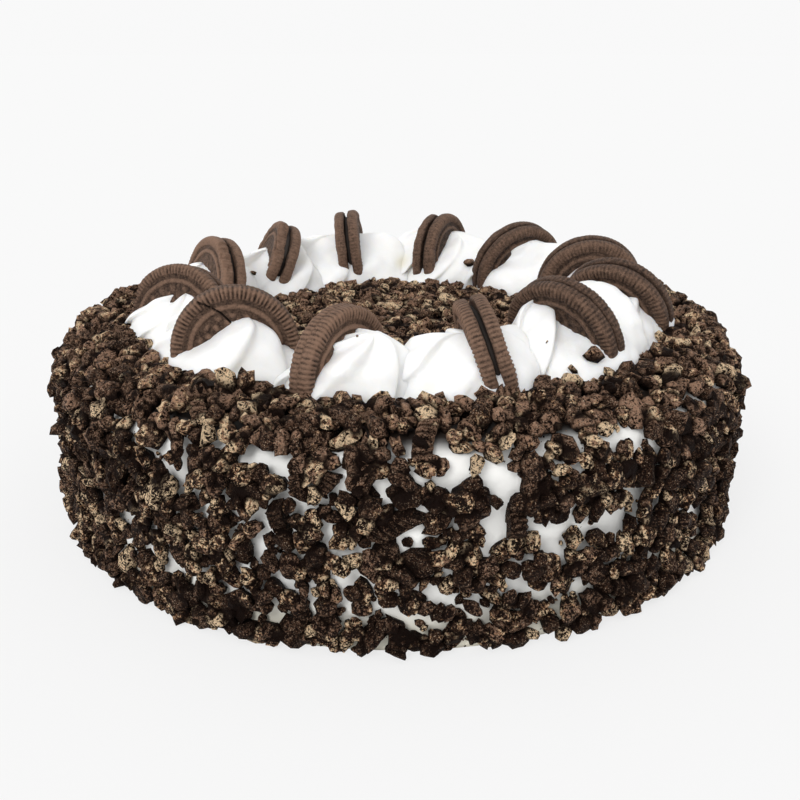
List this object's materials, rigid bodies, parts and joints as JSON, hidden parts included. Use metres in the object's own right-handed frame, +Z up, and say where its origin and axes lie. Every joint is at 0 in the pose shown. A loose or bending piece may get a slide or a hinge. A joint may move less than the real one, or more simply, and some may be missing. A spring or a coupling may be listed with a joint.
{
  "type": "cookies and cream cake",
  "caption": "Low round frosted cake coated in chocolate biscuit crumbs, with a ring of piped cream rosettes, each holding a sandwich biscuit on edge.",
  "frame": {"origin": "middle of the cake's flat base, where it rests", "axes": "+Z up through the middle of the cake, -Y towards the front, +X to the right of the front"},
  "size_m": [0.2788, 0.2823, 0.103],
  "materials": {
    "crumb_coating": "rough, dry broken chocolate biscuit over white frosting",
    "whipped_cream": "soft satin white cream",
    "chocolate_wafer": "dry, matte, ridged dark chocolate wafer",
    "biscuit_filling": "matte, in the shade of the groove"
  },
  "bodies": {
    "root": {"cake": "crumb_coating", "rosette_01": "whipped_cream", "rosette_02": "whipped_cream", "rosette_03": "whipped_cream", "rosette_04": "whipped_cream", "rosette_05": "whipped_cream", "rosette_06": "whipped_cream", "rosette_07": "whipped_cream", "rosette_08": "whipped_cream", "rosette_09": "whipped_cream", "rosette_10": "whipped_cream", "rosette_11": "whipped_cream", "rosette_12": "whipped_cream", "biscuit_01_wafer_a": "chocolate_wafer", "biscuit_01_wafer_b": "chocolate_wafer", "biscuit_01_filling": "biscuit_filling", "biscuit_02_wafer_a": "chocolate_wafer", "biscuit_02_wafer_b": "chocolate_wafer", "biscuit_02_filling": "biscuit_filling", "biscuit_03_wafer_a": "chocolate_wafer", "biscuit_03_wafer_b": "chocolate_wafer", "biscuit_03_filling": "biscuit_filling", "biscuit_04_wafer_a": "chocolate_wafer", "biscuit_04_wafer_b": "chocolate_wafer", "biscuit_04_filling": "biscuit_filling", "biscuit_05_wafer_a": "chocolate_wafer", "biscuit_05_wafer_b": "chocolate_wafer", "biscuit_05_filling": "biscuit_filling", "biscuit_06_wafer_a": "chocolate_wafer", "biscuit_06_wafer_b": "chocolate_wafer", "biscuit_06_filling": "biscuit_filling", "biscuit_07_wafer_a": "chocolate_wafer", "biscuit_07_wafer_b": "chocolate_wafer", "biscuit_07_filling": "biscuit_filling", "biscuit_08_wafer_a": "chocolate_wafer", "biscuit_08_wafer_b": "chocolate_wafer", "biscuit_08_filling": "biscuit_filling", "biscuit_09_wafer_a": "chocolate_wafer", "biscuit_09_wafer_b": "chocolate_wafer", "biscuit_09_filling": "biscuit_filling", "biscuit_10_wafer_a": "chocolate_wafer", "biscuit_10_wafer_b": "chocolate_wafer", "biscuit_10_filling": "biscuit_filling", "biscuit_11_wafer_a": "chocolate_wafer", "biscuit_11_wafer_b": "chocolate_wafer", "biscuit_11_filling": "biscuit_filling", "biscuit_12_wafer_a": "chocolate_wafer", "biscuit_12_wafer_b": "chocolate_wafer", "biscuit_12_filling": "biscuit_filling"}
  },
  "joints": []
}
